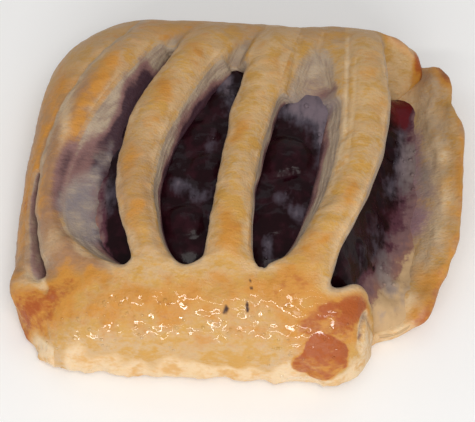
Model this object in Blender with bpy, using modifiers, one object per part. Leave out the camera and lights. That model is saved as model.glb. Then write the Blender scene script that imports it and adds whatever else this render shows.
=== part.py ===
# Blueberry lattice pastry: a bottom sheet of dough, a mound of blueberry filling, and a slit top sheet
# folded down over both. +X runs across the strips, -Y is the glazed front roll, +Z is up, and the origin
# lies on the table under the middle of the pastry.
import math

import bmesh
import bpy
from mathutils import Vector, noise

MM = 0.001

# Driving sizes of the loaf
CREST_X = 10.0 * MM             # the highest line of the loaf
LEFT = 72.3 * MM                # from the crest to the left edge
RIGHT = 66.0 * MM               # from the crest to where the arch would reach the table on the right
FRONT = 53.0 * MM               # from the middle to the front edge
BACK = 53.8 * MM                # from the middle to the back edge
HEIGHT = 37.5 * MM              # outside of the top sheet at its crest
SIDE_POWER = 2.5                # how square the loaf's arch is from side to side, at the front band
SIDE_FULLER = 1.1               # how much squarer it is at the back band
FRONT_POWER = 2.7               # the same for the front roll
BACK_POWER = 3.5                # and for the back roll
FRONT_CORNER = 3.8              # how square the front left corner is in plan, along X
FRONT_CORNER_Y = 8.0            # and along Y
BACK_CORNER = 8.0               # and the back left corner
SKEW = 0.6                      # share by which the front roll is deeper, for each metre to the left
WAIST = 1.4 * MM                # how far the left edge is drawn in
WAIST_Y = -12.0 * MM
WAIST_LENGTH = 20.0 * MM

# Top sheet
SHEET = 8.6 * MM                # thickness of the baked top sheet
CROWN = 0.9 * MM                # how much the middle of a strip stands up
ROUND_OFF = 2.0 * MM            # how much lower a strip's two edges lie
SEAT = 0.4 * MM                 # gap between the top sheet's folded edge and the bottom sheet
FRONT_BAND = -36.5 * MM         # where the slits start, behind the front roll
BACK_BAND = 47.5 * MM           # where the slits end, on the back roll
FRONT_END = 40.5 * MM           # right end of the front roll
BACK_END = 48.5 * MM            # right end of the back roll
END_POWER = 3.0                 # how square the rolls' right ends are
END_LENGTH = 14.0 * MM          # length over which a roll's right end comes down
END_CORNER = 0.04               # how far its corner draws in
END_SHORT = 0.4 * MM            # how far a roll's right end stays inside the bottom sheet's edge
EVEN_OUT = 0.75                 # how far the strips' lines even out going down the rolls
GROOVE = 2.6 * MM               # width of the narrow slit beside the left edge
GROOVE_ENDS = 0.8 * MM          # its width at its two ends
GROOVE_PEAK = 0.5               # where it is widest, below 1 is nearer the front
UNEVEN = 0.5 * MM               # height of the dough's broad bumps
BUMP_SIZE = 14.0 * MM           # and how far apart they lie
EDGE_CROWDING = 1.8             # how much closer the sheet's lines lie towards its left edge
END_CROWDING = 1.6              # and towards the rolls' right ends
ROW_CROWDING = 1.15             # how much closer the rows lie at the slits' front ends

# Edges of the four strips, left to right: x at the front band, x at the back band, sideways bow, where
# the bow is greatest (below 1 is nearer the front), how far the cut wall's foot reaches out
EDGES = (
    (-50.9 * MM, -33.6 * MM, -13.9 * MM, 1.00, 0.0 * MM),
    (-30.2 * MM, -21.7 * MM, -21.4 * MM, 0.60, 8.0 * MM),
    (-26.4 * MM, -13.9 * MM, -12.1 * MM, 0.88, 0.0 * MM),
    (-13.8 * MM, -1.8 * MM, -12.8 * MM, 0.70, 2.0 * MM),
    (-8.0 * MM, 3.0 * MM, -2.4 * MM, 1.35, 0.5 * MM),
    (5.4 * MM, 12.9 * MM, -3.4 * MM, 0.60, 3.0 * MM),
    (11.2 * MM, 24.8 * MM, 9.2 * MM, 0.64, -3.5 * MM),
    (24.4 * MM, 34.5 * MM, 7.8 * MM, 1.00, 1.0 * MM),
)
BOW_POWER = 1.15
# Cells between the sheet's lines: edge strip, narrow slit, then strip and slit in turn, open right end
CELLS = (2, 1, 3, 2, 3, 2, 3, 2, 3, 3)
SLITS = (1, 3, 5, 7, 9)         # which of those spans are cut away between the rolls
SAGGING_ROWS = {3: 1, 5: 2, 7: 3}   # rows behind a slit's back end that stay whole and sag
SAG = 7.0 * MM                  # how deep the dough sags at the slit's back end
SAG_POWER = 0.6                 # how soon, going forward, it reaches that depth
ROLL_ROWS = 5
SLIT_ROWS = 11

# Bottom sheet
BASE = 4.4 * MM                 # thickness of the bottom sheet
# Outline of the open right rim, front to back, as y and x: three lobes with notches between them
RIM_LINE = (
    (-53.5 * MM, 24.0 * MM), (-51.5 * MM, 28.0 * MM), (-48.9 * MM, 31.8 * MM), (-43.6 * MM, 37.3 * MM),
    (-39.0 * MM, 41.3 * MM), (-36.4 * MM, 45.8 * MM), (-34.2 * MM, 48.9 * MM), (-31.5 * MM, 51.4 * MM),
    (-27.7 * MM, 53.3 * MM), (-23.0 * MM, 54.4 * MM), (-20.4 * MM, 54.2 * MM), (-17.6 * MM, 56.5 * MM),
    (-12.0 * MM, 58.5 * MM), (-4.0 * MM, 59.6 * MM), (8.0 * MM, 59.2 * MM), (22.0 * MM, 59.6 * MM),
    (27.5 * MM, 59.1 * MM), (31.5 * MM, 57.0 * MM), (34.0 * MM, 56.0 * MM), (43.0 * MM, 55.8 * MM),
    (46.5 * MM, 55.0 * MM), (50.5 * MM, 51.6 * MM), (54.0 * MM, 45.0 * MM),
)
RIM_START = 37.0 * MM           # where the right rim begins to curl up
RIM_CURL_END = 64.0 * MM        # and where its curl would be complete
RIM_RISE_BACK = 12.0 * MM       # height of the curl near the back
RIM_RISE_FRONT = 4.5 * MM       # height of the curl near the front
RIM_RISE_SOON = 1.7             # how soon, going back, the curl reaches its full height
PUFF = 6.0 * MM                 # how much thicker it is in the middle
PUFF_X = -8.0 * MM
PUFF_REACH = 42.0 * MM
PUFF_FLAT = 1.5                 # how flat the puff is on top
BASE_COLUMNS = 15
BASE_ROWS = 16

# Filling
CLEAR = 1.0 * MM                # the filling stays this far under the top sheet
EDGE_CLEAR = 5.0 * MM           # and further still under the left edge, where the sheet turns down
SIDE_CLEAR = 0.5 * MM           # and this much further inside the loaf's edges
GAP = 0.7 * MM                  # and this far above the bottom sheet
FILLING_RIGHT = 48.5 * MM       # where the filling runs out on the open right side
FALL_START = 22.0 * MM          # where its top begins to fall towards that side
FALL_END = 45.5 * MM
OPEN_START = 12.0 * MM          # from here to OPEN_FULL it draws in between the rolls' right ends
OPEN_FULL = 27.0 * MM
OPEN_CORNER = 5.0               # how square the filling's corners are in the open side
LUMPS = 0.4 * MM                # height of the filling's small lumps
LUMP_SIZE = 6.0 * MM            # and how far apart they lie
THIN = 1.6 * MM                 # thickness of the filling where it runs out
FILLING_COLUMNS = 22
FILLING_ROWS = 16
LEFT_ROOM = 3.5 * MM            # extra room left beside the left edge
OPEN_FRONT = 31.0 * MM          # depth of the filling in the open right side, towards the front
OPEN_BACK = 41.0 * MM           # and towards the back
# Berries that swell out of the filling: span they show in, place along it, place across it, radius, and
# how high they stand
BERRIES = (
    (3, 0.30, 0.70, 4.5 * MM, 1.4 * MM),
    (5, 0.16, 0.50, 4.5 * MM, 2.0 * MM),
    (5, 0.36, 0.55, 5.0 * MM, 2.6 * MM),
    (5, 0.60, 0.50, 4.0 * MM, 1.8 * MM),
    (7, 0.20, 0.55, 4.5 * MM, 1.8 * MM),
    (7, 0.42, 0.45, 5.2 * MM, 2.8 * MM),
    (7, 0.64, 0.60, 4.6 * MM, 2.0 * MM),
    (9, 0.20, 0.55, 5.0 * MM, 2.0 * MM),
    (9, 0.45, 0.40, 5.5 * MM, 2.4 * MM),
    (9, 0.70, 0.45, 5.0 * MM, 2.2 * MM),
)


def smooth(value):
    value = min(1.0, max(0.0, value))
    return value * value * (3.0 - 2.0 * value)


def arch(share, power):
    """Height, 0 to 1, of a rounded arch at a share of its half width."""
    return max(0.0, 1.0 - min(1.0, abs(share)) ** power) ** (1.0 / power)


def reach(value, inset, low, high):
    return (low if value < 0.0 else high) - inset


def side_power(y):
    return SIDE_POWER + SIDE_FULLER * smooth((y - FRONT_BAND) / (BACK_BAND - FRONT_BAND))


def loaf(x, y, inset, foot):
    """Height of the loaf at a place, or of the same loaf made smaller all round by inset."""
    side = (x - CREST_X) / reach(x - CREST_X, inset, LEFT, RIGHT)
    depth = y / reach(y, inset, FRONT, BACK)
    power = FRONT_POWER if y < 0.0 else BACK_POWER
    return foot + (HEIGHT - inset - foot) * arch(side, side_power(y)) * arch(depth, power)


def tilt(value, low, high, power):
    """Outward lean, -1 to 1, of the loaf's outside along one axis."""
    step = 0.5 * MM
    half = reach(value, 0.0, low, high)
    here = HEIGHT * arch(value / half, power)
    inner = abs(value) - step
    there = HEIGHT * arch(inner / half, power)
    lean = math.atan2(there - here, step)
    return math.copysign(math.sin(lean), value) if abs(value) > step else 0.0


def pull_in(side, depth, power):
    """Share by which a point of the unit square draws in so that the square's outline is rounded."""
    spread = (abs(side) ** power + abs(depth) ** power) ** (1.0 / power)
    edge = max(abs(side), abs(depth))
    return 1.0 - (1.0 - edge / spread) * min(1.0, edge) ** 3 if spread > 0.0 else 1.0


def round_corners(x, y, inset):
    """Draw the loaf's square left corners in, and skew its front edge."""
    if x < CREST_X:
        side = (CREST_X - x) / (LEFT - inset)
        depth = y / reach(y, inset, FRONT, BACK)
        x = waist(CREST_X + (x - CREST_X) * pull_in(side, depth, FRONT_CORNER if y < 0.0 else BACK_CORNER), y)
        y *= pull_in(side, depth, FRONT_CORNER_Y if y < 0.0 else BACK_CORNER)
    return x, skew(x, y)


def skew(x, y):
    return y * (1.0 - SKEW * x) if y < 0.0 else y


def waist(x, y):
    """Left edge drawn in a little behind the front roll."""
    share = max(0.0, (CREST_X - x) / LEFT)
    return x + WAIST * share ** 3 * math.exp(-((y - WAIST_Y) / WAIST_LENGTH) ** 2)


def bumps(x, y, size, seed):
    return noise.noise(Vector((x / size, y / size, seed)))


def base_under(x, y):
    """Underside of the bottom sheet: flat on the table, curled up along the open right rim."""
    out = smooth((x - RIM_START) / (RIM_CURL_END - RIM_START))
    along = (y + FRONT) / (FRONT + BACK)
    rise = RIM_RISE_FRONT + (RIM_RISE_BACK - RIM_RISE_FRONT) * smooth(along * RIM_RISE_SOON)
    return rise * out


def base_top(x, y):
    """Top of the bottom sheet, puffed up in the middle under the filling."""
    across = smooth(PUFF_FLAT * (1.0 - abs(x - PUFF_X) / PUFF_REACH))
    along = smooth(PUFF_FLAT * (1.0 - abs(y) / PUFF_REACH))
    return base_under(x, y) + BASE + PUFF * across * along


def rim_x(y):
    """x of the open right rim at a given y."""
    for (y0, x0), (y1, x1) in zip(RIM_LINE, RIM_LINE[1:]):
        if y <= y1:
            return x0 + (x1 - x0) * max(0.0, (y - y0) / (y1 - y0))
    return RIM_LINE[-1][1]


def material(name, colour, roughness):
    made = bpy.data.materials.new(name)
    made.use_nodes = True
    shader = made.node_tree.nodes["Principled BSDF"]
    shader.inputs["Base Color"].default_value = (*colour, 1.0)
    shader.inputs["Roughness"].default_value = roughness
    shader.inputs["Metallic"].default_value = 0.0
    return made


def thick_grid(columns, rows, place, cut):
    """A grid given thickness: place(column, row, under) puts each vertex of its top and its underside, and
    cut(column, row) says which cells are missing."""
    bm = bmesh.new()
    column_of = bm.verts.layers.int.new("column")
    row_of = bm.verts.layers.int.new("row")
    bmesh.ops.create_grid(bm, x_segments=columns, y_segments=rows, size=1.0)
    for vertex in bm.verts:
        vertex[column_of] = round((vertex.co.x + 1.0) / 2.0 * columns)
        vertex[row_of] = round((vertex.co.y + 1.0) / 2.0 * rows)
    missing = [face for face in bm.faces
               if cut(min(v[column_of] for v in face.verts), min(v[row_of] for v in face.verts))]
    bmesh.ops.delete(bm, geom=missing, context="FACES")
    top = list(bm.verts)
    made = bmesh.ops.extrude_face_region(bm, geom=list(bm.faces), use_keep_orig=True)
    under = [item for item in made["geom"] if isinstance(item, bmesh.types.BMVert)]
    for vertex in top:
        vertex.co = place(vertex[column_of], vertex[row_of], False)
    for vertex in under:
        vertex.co = place(vertex[column_of], vertex[row_of], True)
    bmesh.ops.recalc_face_normals(bm, faces=bm.faces)
    if bm.calc_volume(signed=True) < 0.0:
        bmesh.ops.reverse_faces(bm, faces=bm.faces)
    return bm


def new_object(name, bm, collection, finish, rounded):
    mesh = bpy.data.meshes.new(name)
    bm.to_mesh(mesh)
    bm.free()
    mesh.materials.append(finish)
    mesh.shade_smooth()
    made = bpy.data.objects.new(name, mesh)
    collection.objects.link(made)
    if rounded:
        puffed = made.modifiers.new("puffed", "SUBSURF")
        puffed.levels = 1
        puffed.render_levels = 1
    return made


# Top sheet

def leaf(along, lean):
    return abs(math.sin(math.pi * along ** lean)) ** BOW_POWER


def line_x(line, along, under):
    """x of one of the sheet's long lines, from its left edge to its right end."""
    if line == 0:
        return CREST_X - LEFT
    if line == len(EDGES) + 2:
        return FRONT_END + (BACK_END - FRONT_END) * along
    front, back, bow, lean, out = EDGES[max(0, line - 2)]
    x = front + (back - front) * along + bow * leaf(along, lean)
    if line == 1:
        x -= GROOVE_ENDS + GROOVE * leaf(along, GROOVE_PEAK)
    elif under:
        x += out * leaf(along, lean)
    return x


def span_of(column):
    """The span a column's vertex line lies in, and its share of the way across it."""
    for span, cells in enumerate(CELLS):
        if column <= cells:
            return span, column / cells
        column -= cells
    return len(CELLS) - 1, 1.0


def row_y(row):
    """y of a row: evenly spaced round the rolls' curve, closer together at the slits' front ends."""
    last = 2 * ROLL_ROWS + SLIT_ROWS
    if ROLL_ROWS <= row <= last - ROLL_ROWS:
        along = ((row - ROLL_ROWS) / SLIT_ROWS) ** ROW_CROWDING
        return FRONT_BAND + (BACK_BAND - FRONT_BAND) * along
    if row < ROLL_ROWS:
        edge, band, power, step = -FRONT, FRONT_BAND, FRONT_POWER, row / ROLL_ROWS
    else:
        edge, band, power, step = BACK, BACK_BAND, BACK_POWER, (last - row) / ROLL_ROWS
    turn = step * math.acos((band / edge) ** (power / 2.0))
    return edge * math.cos(turn) ** (2.0 / power)


def top_relief(span, across, rows_left):
    """How far a place between the rolls stands above the loaf: a strip's crown and its rounded edges, and
    the dough that sags behind a slit."""
    if not 0.0 < across < 1.0:
        return -ROUND_OFF
    sagging = SAGGING_ROWS.get(span, 0)
    if sagging and rows_left <= sagging:
        return -SAG * (rows_left / sagging) ** SAG_POWER
    return CROWN


def sheet_point(column, row, under):
    last = 2 * ROLL_ROWS + SLIT_ROWS
    span, across = span_of(column)
    y = row_y(row)
    along = min(1.0, max(0.0, (y - FRONT_BAND) / (BACK_BAND - FRONT_BAND)))
    left, right = line_x(span, along, under), line_x(span + 1, along, under)
    end = line_x(len(CELLS), along, False)
    if y < FRONT_BAND:
        end = min(end, rim_x(y) - END_SHORT)
    if span == 0:
        across **= EDGE_CROWDING
    if span == len(CELLS) - 1:
        right = end
        across = 1.0 - (1.0 - across) ** END_CROWDING
    x = left + (right - left) * across
    # Going down the rolls the lines spread out evenly.
    into_roll = max(0, ROLL_ROWS - row, row - (last - ROLL_ROWS)) / ROLL_ROWS
    even = column / sum(CELLS)
    spread = CREST_X - LEFT + (end - CREST_X + LEFT) * even
    if 0 < column < sum(CELLS):
        x += (spread - x) * EVEN_OUT * smooth(into_roll)
    inset = SHEET if under else 0.0
    if under:
        x -= inset * tilt(x - CREST_X, LEFT, RIGHT, side_power(y))
        y -= inset * tilt(y, FRONT, BACK, FRONT_POWER if y < 0.0 else BACK_POWER)
    foot = base_top(x, y) + SEAT
    z = loaf(x, y, inset, foot)
    if into_roll > 0.0 or row in (ROLL_ROWS, last - ROLL_ROWS):
        # The rolls' right ends come down to the bottom sheet.
        closing = min(1.0, max(0.0, 1.0 - (end - x) / END_LENGTH))
        y *= 1.0 - END_CORNER * closing ** 3
        if under:
            x -= SHEET * closing ** 2
        foot = base_top(x, y) + SEAT
        z = foot + (z - foot) * arch(closing, END_POWER)
    elif not under and span > 0:
        z += top_relief(span, across, last - ROLL_ROWS - row)
    if z > foot + BASE / 2.0:
        z += UNEVEN * bumps(x, y, BUMP_SIZE, 1.0)
    x, y = round_corners(x, y, inset)
    return Vector((x, y, z))


def sheet_cut(column, row):
    span, across = span_of(column + 1)
    slit_end = ROLL_ROWS + SLIT_ROWS - SAGGING_ROWS.get(span, 0)
    return span in SLITS and ROLL_ROWS <= row < slit_end


# Bottom sheet

def base_point(column, row, under):
    across = 2.0 * column / BASE_COLUMNS - 1.0
    depth = 2.0 * row / BASE_ROWS - 1.0
    y = depth * reach(depth, 0.0, FRONT, BACK)
    x = CREST_X + across * (LEFT if across < 0.0 else rim_x(y) - CREST_X)
    x, y = round_corners(x, y, 0.0)
    z = base_under(x, y) if under else base_top(x, y)
    return Vector((x, y, z))


# Filling

def berry_places():
    places = []
    for span, along, across, radius, stand in BERRIES:
        left, right = line_x(span, along, True), line_x(span + 1, along, True)
        y = FRONT_BAND + (BACK_BAND - FRONT_BAND) * along
        places.append((left + (right - left) * across, y, radius, stand))
    return places


def filling_top(x, y):
    inset = SHEET + CLEAR + EDGE_CLEAR * max(0.0, (CREST_X - x) / LEFT) ** 3
    z = loaf(x, y, inset, BASE + SEAT) + LUMPS * (bumps(x, y, LUMP_SIZE, 7.0) - 1.0)
    for berry_x, berry_y, radius, stand in berry_places():
        z += stand * arch(math.hypot(x - berry_x, y - berry_y) / radius, 2.0)
    fall = smooth((x - FALL_START) / (FALL_END - FALL_START))
    low = base_top(x, y) + GAP + THIN
    return max(low, z + (low - z) * fall)


def filling_point(column, row, under):
    inset = SHEET + CLEAR + SIDE_CLEAR
    across = 2.0 * column / FILLING_COLUMNS - 1.0
    depth = 2.0 * row / FILLING_ROWS - 1.0
    if across < 0.0:
        x = CREST_X + across * (LEFT - inset - LEFT_ROOM)
        y = depth * reach(depth, inset, FRONT, BACK)
    else:
        pull = pull_in(across, depth, OPEN_CORNER)
        x = CREST_X + across * pull * (FILLING_RIGHT - CREST_X)
        # Past the rolls' right ends the filling keeps to the opening between them.
        into_open = smooth((x - OPEN_START) / (OPEN_FULL - OPEN_START))
        room = reach(depth, inset, FRONT, BACK)
        room += ((OPEN_FRONT if depth < 0.0 else OPEN_BACK) - room) * into_open
        y = depth * pull * room
    z = base_top(x, y) + GAP if under else filling_top(x, y)
    x, y = round_corners(x, y, inset)
    return Vector((x, y, z))


def keep_all(column, row):
    return False


def main():
    for old in list(bpy.data.objects):
        bpy.data.objects.remove(old)
    pastry = bpy.data.collections.new("blueberry_lattice_pastry")
    bpy.context.scene.collection.children.link(pastry)
    crust = material("baked crust", (0.62, 0.36, 0.13), 0.45)
    pale = material("pale crust", (0.66, 0.45, 0.23), 0.6)
    jam = material("blueberry jam", (0.045, 0.006, 0.016), 0.12)

    base = thick_grid(BASE_COLUMNS, BASE_ROWS, base_point, keep_all)
    new_object("bottom_sheet", base, pastry, pale, True)
    filling = thick_grid(FILLING_COLUMNS, FILLING_ROWS, filling_point, keep_all)
    new_object("blueberry_filling", filling, pastry, jam, False)
    lattice = thick_grid(sum(CELLS), 2 * ROLL_ROWS + SLIT_ROWS, sheet_point, sheet_cut)
    new_object("lattice_top", lattice, pastry, crust, True)


main()
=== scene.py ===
import math

import bpy
import numpy as np
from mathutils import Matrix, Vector, kdtree, noise

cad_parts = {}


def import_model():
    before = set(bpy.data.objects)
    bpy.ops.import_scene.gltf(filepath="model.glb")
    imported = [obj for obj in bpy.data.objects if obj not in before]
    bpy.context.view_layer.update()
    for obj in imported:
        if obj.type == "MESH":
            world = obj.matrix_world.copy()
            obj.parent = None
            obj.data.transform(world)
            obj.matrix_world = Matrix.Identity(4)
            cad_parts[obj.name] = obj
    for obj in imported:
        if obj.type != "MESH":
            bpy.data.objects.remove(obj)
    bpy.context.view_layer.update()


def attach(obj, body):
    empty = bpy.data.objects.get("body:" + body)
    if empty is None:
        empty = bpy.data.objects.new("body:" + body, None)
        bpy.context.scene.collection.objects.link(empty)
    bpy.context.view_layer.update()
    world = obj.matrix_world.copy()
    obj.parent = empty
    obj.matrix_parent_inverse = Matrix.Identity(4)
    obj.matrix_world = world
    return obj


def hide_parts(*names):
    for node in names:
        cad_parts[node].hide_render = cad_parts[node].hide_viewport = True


# Blueberry lattice pastry: a slit top crust and a bottom sheet of dough round a jammy filling.
# Shapes are worked out in millimetres and put in metres when the meshes are done.

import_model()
mm = 0.001
print("solids loaded")


# Sums that every piece shares

def easeIn(value):
    value = min(1.0, max(0.0, value))
    return value * value * (3.0 - 2.0 * value)


# From 0 to 1 as a value goes from the first to the second place of a zone
def through(value, zone):
    return easeIn((value - zone[0]) / (zone[1] - zone[0]))


# Both again, for many values at once
def ease(values):
    values = np.clip(values, 0.0, 1.0)
    return values * values * (3.0 - 2.0 * values)


def step(values, zone):
    return ease((values - zone[0]) / (zone[1] - zone[0]))


def arch(share, power):
    return max(0.0, 1.0 - min(1.0, abs(share)) ** power) ** (1.0 / power)


def bell(distance, width):
    return np.exp(-(distance / width) ** 2)


def wobble(x, y, size, seed):
    return noise.noise(Vector((x / size, y / size, seed)))


# Noise at many points at once; stretch makes it longer along an axis
def noiseField(points, size, seed, stretch=(1.0, 1.0, 1.0)):
    scaled = points / (np.array(stretch) * size) + seed * 7.31
    return np.array([noise.noise(place) for place in scaled.tolist()])


def ridges(points, size, seed, stretch=(1.0, 1.0, 1.0)):
    return 1.0 - np.abs(2.0 * noiseField(points, size, seed, stretch))


# Layers of such fields: field, size, seed, height and stretch of each
def relief(points, layers):
    return sum(height * field(points, size, seed, *stretch)
               for field, size, seed, height, *stretch in layers)


# The loaf that the top crust, the filling and the stains all follow

loaf = {
    "crestX": 10, "left": 72.3, "right": 66, "front": 53, "back": 53.8, "height": 37.5,
    "frontBand": -36.5, "backBand": 47.5,
    "sidePower": 2.5, "sideFuller": 1.1, "frontPower": 2.7, "backPower": 3.5,
    "cornerX": 3.8, "cornerY": 8, "cornerBack": 8,
    "skew": 0.0006, "waist": 0.8, "waistY": -12, "waistLength": 20, "leanStep": 0.5,
}


def reach(value, inset, low, high):
    return (low if value < 0.0 else high) - inset


# Share of the way from the front roll to the back one
def bandShare(y):
    return (y - loaf["frontBand"]) / (loaf["backBand"] - loaf["frontBand"])


def bandY(share):
    return loaf["frontBand"] + (loaf["backBand"] - loaf["frontBand"]) * share


def sidePower(y):
    return loaf["sidePower"] + loaf["sideFuller"] * easeIn(bandShare(y))


def depthPower(y):
    return loaf["frontPower"] if y < 0.0 else loaf["backPower"]


def loafHeight(x, y, inset, foot):
    side = (x - loaf["crestX"]) / reach(x - loaf["crestX"], inset, loaf["left"], loaf["right"])
    depth = y / reach(y, inset, loaf["front"], loaf["back"])
    return foot + (loaf["height"] - inset - foot) * arch(side, sidePower(y)) * arch(depth, depthPower(y))


# How far the surface leans outwards, found from its drop over a short step
def leanOut(value, low, high, power):
    short = loaf["leanStep"]
    if abs(value) <= short:
        return 0.0
    half = reach(value, 0.0, low, high)
    drop = loaf["height"] * (arch((abs(value) - short) / half, power) - arch(value / half, power))
    return math.copysign(math.sin(math.atan2(drop, short)), value)


# Square outlines are drawn in to rounded corners
def pullIn(side, depth, power):
    rounded = (abs(side) ** power + abs(depth) ** power) ** (1.0 / power)
    edge = max(abs(side), abs(depth))
    return 1.0 - (1.0 - edge / rounded) * min(1.0, edge) ** 3 if rounded > 0.0 else 1.0


def roundCorners(x, y, inset):
    if x < loaf["crestX"]:
        side = (loaf["crestX"] - x) / (loaf["left"] - inset)
        depth = y / reach(y, inset, loaf["front"], loaf["back"])
        powerX = loaf["cornerX"] if y < 0.0 else loaf["cornerBack"]
        powerY = loaf["cornerY"] if y < 0.0 else loaf["cornerBack"]
        x = loaf["crestX"] + (x - loaf["crestX"]) * pullIn(side, depth, powerX)
        share = max(0.0, (loaf["crestX"] - x) / loaf["left"])
        x += loaf["waist"] * share ** 3 * bell(y - loaf["waistY"], loaf["waistLength"])
        y *= pullIn(side, depth, powerY)
    return x, y * (1.0 - loaf["skew"] * x) if y < 0.0 else y


# Bottom sheet

sheet = {
    "thick": 4.4, "puff": 6, "puffX": -8, "puffReach": 42,
    "curl": (37, 64), "riseBack": 12, "riseFront": 4.5, "riseSooner": 1.7,
    # the edge lies hidden inside the fold, except on the open side
    "tuck": 1.6, "tuckX": (24, 10), "tuckY": (-38, -44), "tuckPower": 6,
    "tuckRight": 4, "tuckRightY": (-39, -42),
    "columns": 34, "rows": 28, "wallRings": (0, 0.25, 0.75, 1), "levels": 2, "hiddenShare": 0.2,
}
# Outline of the open right rim, front to back, as y and x: three lobes with notches between them
rimLine = (
    (-53.5, 24), (-51.5, 28), (-48.9, 31.8), (-43.6, 37.3), (-39, 41.3), (-36.4, 45.8), (-34.2, 48.9),
    (-31.5, 51.4), (-27.7, 53.3), (-23, 54.4), (-20.4, 54.2), (-17.6, 56.5), (-12, 58.5), (-4, 59.6),
    (8, 59.2), (22, 59.6), (27.5, 59.1), (31.5, 57), (34, 56), (43, 55.8), (46.5, 55),
    (50.5, 51.6), (54, 45),
)


def underSheet(x, y):
    along = (y + loaf["front"]) / (loaf["front"] + loaf["back"])
    rise = sheet["riseFront"]
    rise += (sheet["riseBack"] - rise) * easeIn(along * sheet["riseSooner"])
    return rise * through(x, sheet["curl"])


def onSheet(x, y):
    puff = (easeIn(1.5 - 1.5 * abs(x - sheet["puffX"]) / sheet["puffReach"])
            * easeIn(1.5 - 1.5 * abs(y) / sheet["puffReach"]))
    return underSheet(x, y) + sheet["thick"] + sheet["puff"] * puff


def rimX(y):
    return np.interp(y, *zip(*rimLine))


def sheetPlace(column, row, under):
    across = 2.0 * column / sheet["columns"] - 1.0
    depth = 2.0 * row / sheet["rows"] - 1.0
    y = depth * reach(depth, 0.0, loaf["front"], loaf["back"])
    x = loaf["crestX"] + across * (loaf["left"] if across < 0.0 else rimX(y) - loaf["crestX"])
    x, y = roundCorners(x, y, 0.0)
    hidden = sheet["tuck"] * max(through(x, sheet["tuckX"]), 1.5 * through(y, sheet["tuckY"]))
    x += hidden * max(0.0, -across) ** sheet["tuckPower"]
    x -= sheet["tuckRight"] * through(y, sheet["tuckRightY"]) * max(0.0, across) ** sheet["tuckPower"]
    y -= hidden * math.copysign(abs(depth) ** sheet["tuckPower"], depth)
    return Vector((x, y, underSheet(x, y) if under else onSheet(x, y)))


# Top crust: rolls front and back, four strips and a narrow left edge between them

crust = {
    "thick": 8.6, "crown": 0.9, "roundOff": 2, "slitLower": 1, "sunk": 0.8,
    "foldedUnder": 2.6, "foldX": (20, 8), "foldY": (-36, -44),
    "uneven": 0.5, "unevenSize": 14, "unevenFrom": 2,
    "groove": 2.4, "grooveAt": 0.12, "grooveLength": 0.3, "grooveEnd": 0.3,
    "slitRound": 2.2, "bowPower": 1.15, "rowPower": 1.15, "leftPower": 1.8, "rightPower": 1.6,
    "frontEnd": 38, "backEnd": 48.5, "frontEndPower": 3, "backEndPower": 1.9, "endLength": 14,
    "endCorner": 0.02, "endOut": 0.6, "evenOut": 0.75, "backWhole": (18, 26),
    "cells": (2, 1, 3, 2, 3, 2, 3, 4, 3, 3), "slits": (1, 3, 5, 7, 9), "strips": (2, 4, 6, 8),
    "frontRows": 7, "slitRows": 16, "backRows": 5, "wallRings": (0, 0.3, 0.7, 1), "levels": 3,
    "hiddenShare": 0.12,
    # rows of whole dough that sag behind a slit, and how deep they sag there
    "sags": {1: (9, 0.3), 3: (2, 2.5), 5: (3, 4.5), 7: (5, 6.6)}, "sagSide": 0.42,
}
columnStarts = [sum(crust["cells"][:span]) for span in range(len(crust["cells"]) + 1)]
firstSlit, lastSlit = crust["frontRows"], crust["frontRows"] + crust["slitRows"]
# Strip edges, left to right: x at the front, x at the back, bow, where it bows most,
# how far its foot reaches and where that reaches furthest
stripEdges = (
    (-51.9, -33.6, -11.6, 1.0, 0, 1),
    (-30.2, -21.7, -21.4, 0.6, 12.5, 0.8),
    (-26.4, -13.9, -12.1, 0.88, 0, 1),
    (-13.8, -1.8, -12.8, 0.7, 4.6, 1.9),
    (-8, 3, -2.4, 1.35, 0.3, 1),
    (6.8, 12.9, -4.8, 0.6, 1.4, 1.3),
    (9.6, 24.8, 9.2, 0.64, -6.2, 0.85),
    (24.4, 34.5, 7.8, 1.0, 1, 1),
)


def leaf(along, peak):
    return abs(math.sin(math.pi * along ** peak)) ** crust["bowPower"]


def lineX(line, along, under):
    if line == 0:
        return loaf["crestX"] - loaf["left"]
    if line == len(stripEdges) + 2:
        return crust["frontEnd"] + (crust["backEnd"] - crust["frontEnd"]) * along
    front, back, bow, peak, out, outPeak = stripEdges[max(0, line - 2)]
    x = front + (back - front) * along + bow * leaf(along, peak)
    if line == 1:
        groove = crust["groove"] * bell(along - crust["grooveAt"], crust["grooveLength"])
        return x - crust["grooveEnd"] - groove
    return x + out * leaf(along, outPeak) if under else x


def spanOf(column):
    for span, cells in enumerate(crust["cells"]):
        if column <= cells:
            return span, column / cells
        column -= cells
    return len(crust["cells"]) - 1, 1.0


def rowY(row):
    if firstSlit <= row <= lastSlit:
        return bandY(((row - firstSlit) / crust["slitRows"]) ** crust["rowPower"])
    if row < firstSlit:
        edge, band, power, step = -loaf["front"], loaf["frontBand"], loaf["frontPower"], row / firstSlit
    else:
        edge, band, power = loaf["back"], loaf["backBand"], loaf["backPower"]
        step = (lastSlit + crust["backRows"] - row) / crust["backRows"]
    turn = step * math.acos((band / edge) ** (power / 2.0))
    return edge * math.cos(turn) ** (2.0 / power)


# How far a place between the rolls stands above the loaf: a strip's crown and its rounded edges
def topRelief(span, across):
    if not 0.0 < across < 1.0:
        return -crust["roundOff"]
    return -crust["slitLower"] if span in crust["slits"] else crust["crown"]


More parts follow.
